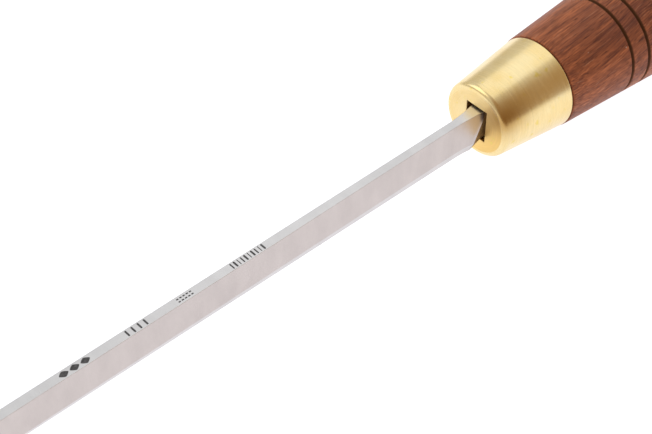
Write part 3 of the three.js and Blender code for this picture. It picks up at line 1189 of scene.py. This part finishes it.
@dataclass
class Handle:
    """The turned handle: domed butt, long belly, grooved neck, and a tenon with a mortise.

    The mortise starts as wide as the ferrule's slot, steps in below its mouth to the throat's
    shares of that, and narrows evenly to its bottom.
    """

    shoulder: float
    ferrule: Ferrule
    tang_end: float
    neck_step: float = 0.1 * MM
    neck_slope: float = 0.066
    neck_length: float = 26.0 * MM
    belly_radius: float = 900.0 * MM
    dome_start: float = 16.0 * MM
    butt_flat: float = 5.0 * MM
    groove_places: tuple[float, ...] = (18.15 * MM, 14.2 * MM)
    groove_half: float = 0.45 * MM
    groove_depth: float = 0.5 * MM
    groove_burn: float = 3.2
    groove_spread: float = 1.3
    front_stretch: float = 11.0 * MM
    shoulder_edge: float = 0.2 * MM
    shoulder_clearance: float = 1.4
    joint_gap: float = 0.3 * MM
    mouth_edge: float = 0.2 * MM
    mouth_depth: float = 4.0 * MM
    throat_step: float = 1.0 * MM
    throat_shares: Span = (0.75, 0.98)
    mortise_half_width: float = 1.2 * MM
    mortise_half_height: float = 1.7 * MM
    mortise_spare: float = 2.0 * MM
    flat_shares: tuple[float, ...] = (0.25, 0.5, 0.75, 0.97)
    dome_rings: int = 40
    belly_rings: int = 39
    groove_rings: int = 27
    front_rings: int = 10
    edge_rings: int = 5
    tenon_rings: int = 4
    web_rings: int = 5

    @classmethod
    def from_frame(cls, ferrule: Ferrule) -> "Handle":
        """The handle behind a ferrule, with its length and the tang's read from the frame."""
        shoulder = ferrule.back - cls.joint_gap
        return cls(shoulder=shoulder, ferrule=ferrule, tang_end=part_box("blade")[0].x)

    def grip_radius(self, x: Array) -> Array:
        """Radius forward of the dome, without grooves.

        A straight taper at the neck, which a long circle, written as its parabola, carries
        over into the belly.

        Args:
            x: Places along the tool.

        Returns:
            The radius at each place.
        """
        behind = np.maximum(self.shoulder - self.neck_length - x, 0.0)
        straight = self.ferrule.back_radius + self.neck_step + (self.shoulder - x) * self.neck_slope
        return straight - behind**2 / (2.0 * self.belly_radius)

    def dome_rows(self) -> Array:
        """The butt: its flat, and the stretch of an ellipse that meets the belly in line.

        The ellipse is x = a (sin(last) - sin(t)), r = b cos(t), from the flat's edge at last to
        the dome's start at first, where its slope is the belly's.

        Returns:
            The rings for RingWalk.points.
        """
        start_radius = float(self.grip_radius(np.array(self.dome_start)))
        belly_length = self.shoulder - self.neck_length - self.dome_start
        fall = belly_length / self.belly_radius - self.neck_slope
        first = math.asin(fall * self.dome_start / start_radius)
        tall = start_radius / math.cos(first)
        last = math.acos(self.butt_flat / tall)
        across = self.dome_start / (math.sin(last) - math.sin(first))
        turn = np.linspace(last, first, self.dome_rings)
        flat = round_rows(0.0, self.butt_flat * np.array(self.flat_shares))
        dome = round_rows(across * (math.sin(last) - np.sin(turn)), tall * np.cos(turn))
        return np.concatenate([flat, dome])

    def groove_share(self, x: Array) -> Array:
        """How deep the grooves are at x, as a share of the full depth.

        It is (cos(pi u / 2))^2 within |u| < 1, where u is the distance from a groove's middle
        over its half width, and 0 beyond.

        Args:
            x: Places along the tool.

        Returns:
            The share at each place.
        """
        u = (x[:, None] - (self.shoulder - np.array(self.groove_places))) / self.groove_half
        dip = np.cos(np.clip(u, -1.0, 1.0) * math.pi / 2) ** 2
        return np.where(np.abs(u) < 1.0, dip, 0.0).max(axis=1)

    def grip_x(self) -> Array:
        """Where the rings from the dome to the shoulder lie, close together at the grooves.

        Returns:
            Places along the tool.
        """
        belly = np.linspace(self.dome_start, self.shoulder - self.neck_length, self.belly_rings + 1)[1:]
        beside = np.linspace(-self.groove_spread, self.groove_spread, self.groove_rings) * self.groove_half
        grooves = [self.shoulder - place + beside for place in self.groove_places]
        front_end = self.shoulder_edge * self.shoulder_clearance
        front = self.shoulder - np.linspace(self.front_stretch, front_end, self.front_rings)
        return np.concatenate([belly, *grooves, front])

    def rows(self) -> tuple[Array, Array]:
        """All rings from the butt to the bottom of the mortise.

        Returns:
            The rings for RingWalk.points, and how burnt each is, from 0 to 1.
        """
        x = self.grip_x()
        groove = self.groove_share(x)
        grip = round_rows(x, self.grip_radius(x) - self.groove_depth * groove)
        turn = np.linspace(0.0, math.pi / 2, self.edge_rings)
        edge_x = self.shoulder - self.shoulder_edge * (1 - np.sin(turn))
        edge_radius = self.grip_radius(edge_x) - self.shoulder_edge * (1 - np.cos(turn))

        cap = self.ferrule
        nose = cap.face - cap.end_wall - self.joint_gap
        tenon_x = np.linspace(self.shoulder, nose, self.tenon_rings)
        tenon = round_rows(tenon_x, cap.radius(tenon_x) - cap.wall - self.joint_gap)
        width, height = cap.slot_half_width, cap.slot_half_height
        shares = np.linspace(0.0, 1.0, self.web_rings + 1)[1:]
        web = web_rows(tenon[-1:], square_rows(nose, width, height), shares)
        throat = nose - self.mouth_depth
        end = self.tang_end - self.mortise_spare
        narrow, low = self.throat_shares
        wall = square_rows(
            np.array([nose - self.mouth_edge, throat, throat - self.throat_step, end]),
            np.array([width, width, width * narrow, self.mortise_half_width]),
            np.array([height, height, height * low, self.mortise_half_height]),
        )
        dome = self.dome_rows()
        front = np.concatenate([round_rows(edge_x, edge_radius), tenon, web, wall])
        burnt = [np.zeros(len(dome)), ease(groove * self.groove_burn), np.zeros(len(front))]
        return np.concatenate([dome, grip, front]), np.concatenate(burnt)

    def build(self, wood: bpy.types.Material) -> bpy.types.Object:
        """Makes the handle and closes it on a pole at the butt and one in the mortise.

        Args:
            wood: Its finish.

        Returns:
            The handle.
        """
        walk = RingWalk(self.ferrule.slot_half_width, self.ferrule.slot_half_height)
        rows, burnt = self.rows()
        poles = np.array([[0.0, 0.0, 0.0], [rows[-1, 0], 0.0, 0.0]])
        points = np.concatenate([walk.points(rows), poles])
        count = len(rows) * AXIS_COLUMNS
        faces = wrap_faces(len(rows), AXIS_COLUMNS, closed=False)
        faces += pole_faces(len(rows), AXIS_COLUMNS, (count, count + 1))
        weights = {"burnt": np.append(np.repeat(burnt, AXIS_COLUMNS), [0.0, 0.0])}
        return make_piece("handle_turned", points, faces, wood, "handle", weights)


# ---- Studio --------------------------------------------------------------------------------


@dataclass(frozen=True)
class Softbox:
    """A square soft light that hangs in a direction from the ferrule and faces it."""

    name: str
    bearing: float
    height: float
    distance: float
    side: float
    radiance: float

    def build(self, aim: Vector) -> None:
        """Hangs the light.

        Args:
            aim: The point that it faces.
        """
        data = bpy.data.lights.new(self.name, "AREA")
        data.size = self.side
        data.energy = self.radiance * math.pi * self.side**2
        lamp = bpy.data.objects.new(self.name, data)
        bpy.context.scene.collection.objects.link(lamp)
        lamp.matrix_world = aimed(aim, direction(self.bearing, self.height), self.distance)


def direction(bearing: float, height: float) -> Vector:
    """The unit vector at a bearing from +X towards +Y and a height over the floor, in degrees."""
    around, up = math.radians(bearing), math.radians(height)
    return Vector((math.cos(around) * math.cos(up), math.sin(around) * math.cos(up), math.sin(up)))


def aimed(aim: Vector, away: Vector, distance: float) -> Matrix:
    """The placing of a lamp or camera that looks back at aim from a distance in a direction."""
    turn = away.to_track_quat("Z", "Y").to_matrix().to_4x4()
    return Matrix.Translation(aim + away * distance) @ turn


@dataclass
class Studio:
    """The camera, the white tent round the tool, its soft lights and the floor."""

    face: float
    floor_z: float
    aim_ahead: float = 34.1 * MM
    aim_side: float = -0.065 * MM
    aim_rise: float = 0.047 * MM
    camera_bearing: float = 47.46
    camera_height: float = 45.32
    camera_distance: float = 287.9 * MM
    camera_roll: float = 0.32
    lens: float = 99.4
    clip: Span = (0.01, 100.0)
    floor_half: float = 20.0
    floor_grain: float = 40.0 * MM
    floor_span: Span = (0.3, 0.7)
    floor_shades: Span = (0.29, 0.31)
    floor_glow: Colour = (0.985, 1.0, 1.06)
    glow_reach: Span = (0.35, 1.4)
    glow_radiance: Span = (0.97, 0.47)
    tent_top: Colour = (0.80, 0.805, 0.81)
    tent_side: Colour = (0.70, 0.675, 0.64)
    tent_lean: tuple[float, float, float] = (0.0, -0.16, 1.0)
    tent_span: Span = (0.46, 0.74)
    room: Colour = (0.42, 0.29, 0.175)
    backdrop: Colour = (0.80, 0.80, 0.80)
    opening_bearing: float = 77.0
    opening_height: float = 28.0
    opening_half_angle: float = 39.0
    opening_softness: float = 25.0
    lights: tuple[Softbox, ...] = (
        Softbox("key_light", bearing=-150.0, height=62.0, distance=1.0, side=0.8, radiance=0.37),
        Softbox("front_light", bearing=-48.0, height=42.0, distance=1.0, side=0.8, radiance=0.9),
    )

    @classmethod
    def from_frame(cls) -> "Studio":
        """The studio with its floor under the handle's belly."""
        return cls(face=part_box("ferrule")[1].x, floor_z=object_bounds()[0].z)

    def build_camera(self) -> None:
        """Aims a long lens at the blade a little ahead of the ferrule."""
        data = bpy.data.cameras.new("camera")
        data.lens = self.lens
        data.clip_start, data.clip_end = self.clip
        camera = bpy.data.objects.new("camera", data)
        bpy.context.scene.collection.objects.link(camera)
        away = direction(self.camera_bearing, self.camera_height)
        aim = Vector((self.face + self.aim_ahead, self.aim_side, self.aim_rise))
        roll = Matrix.Rotation(math.radians(self.camera_roll), 4, "Z")
        camera.matrix_world = aimed(aim, away, self.camera_distance) @ roll
        bpy.context.scene.camera = camera

    def build_tent(self) -> None:
        """A pale tent: bright overhead, dimmer to the sides, and open in front, where it is dim.

        It only lights the tool: behind the tool, an even pale backdrop shows in its place.
        """
        world = bpy.data.worlds.new("tent")
        world.use_nodes = True
        bpy.context.scene.world = world
        nodes = Shading(world.node_tree)
        outward = nodes.node("TexCoord", {}).outputs["Generated"]
        overhead = nodes.vector("DOT_PRODUCT", outward, self.tent_lean)
        tent = nodes.blend(nodes.ramp(overhead, self.tent_span), self.tent_side, self.tent_top)
        front = tuple(direction(self.opening_bearing, self.opening_height))
        facing = nodes.vector("DOT_PRODUCT", outward, front)
        half = math.radians(self.opening_half_angle)
        soft = math.radians(self.opening_softness)
        opening = nodes.ramp(facing, (math.cos(half + soft), math.cos(half)))
        sky = nodes.blend(opening, tent, self.room)
        seen = nodes.node("LightPath", {}).outputs["Is Camera Ray"]
        sky = nodes.blend(seen, sky, self.backdrop)
        background = world.node_tree.nodes["Background"]
        nodes.feed(background.inputs["Color"], sky)

    def build_floor(self) -> None:
        """A pale floor that a little light comes up through, as on a lit table."""
        nodes = SurfaceShading("pale_floor")
        place = nodes.place()
        grain = nodes.noise(place, self.floor_grain, detail=3.0, roughness=0.5)
        glow = nodes.ramp(nodes.vector("LENGTH", place), self.glow_reach, self.glow_radiance)
        paper = nodes.dress(
            Base_Color=nodes.ramp(grain, self.floor_span, self.floor_shades),
            Roughness=0.9,
            Specular_IOR_Level=0.1,
            Emission_Color=self.floor_glow,
            Emission_Strength=glow,
        )
        h, z = self.floor_half, self.floor_z
        mesh = bpy.data.meshes.new("floor")
        mesh.from_pydata([(-h, -h, z), (h, -h, z), (h, h, z), (-h, h, z)], [], [(0, 1, 2, 3)])
        mesh.materials.append(paper)
        floor = bpy.data.objects.new("floor", mesh)
        bpy.context.scene.collection.objects.link(floor)
        floor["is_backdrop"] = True

    def build(self) -> None:
        """Sets up everything that isn't the tool."""
        bpy.context.scene.view_settings.view_transform = "Standard"
        self.build_camera()
        self.build_tent()
        self.build_floor()
        for light in self.lights:
            light.build(Vector((self.face, 0.0, 0.0)))
        log.info("studio: floor at %.2f mm, %d soft lights", self.floor_z / MM, len(self.lights))


def main() -> None:
    """Builds the tool round the frame, then the studio round the tool."""
    logging.basicConfig(level=logging.INFO, format="%(name)s %(message)s")
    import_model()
    studio = Studio.from_frame()
    ferrule = Ferrule.from_frame()
    Handle.from_frame(ferrule).build(DarkHardwood().material())
    ferrule.build(SpunBrass().material())
    Blade.from_frame().build(GroundSteel().material())
    BandMarks.from_frame().build(EtchedInk().material())
    studio.build()


if __name__ == "__main__":
    main()
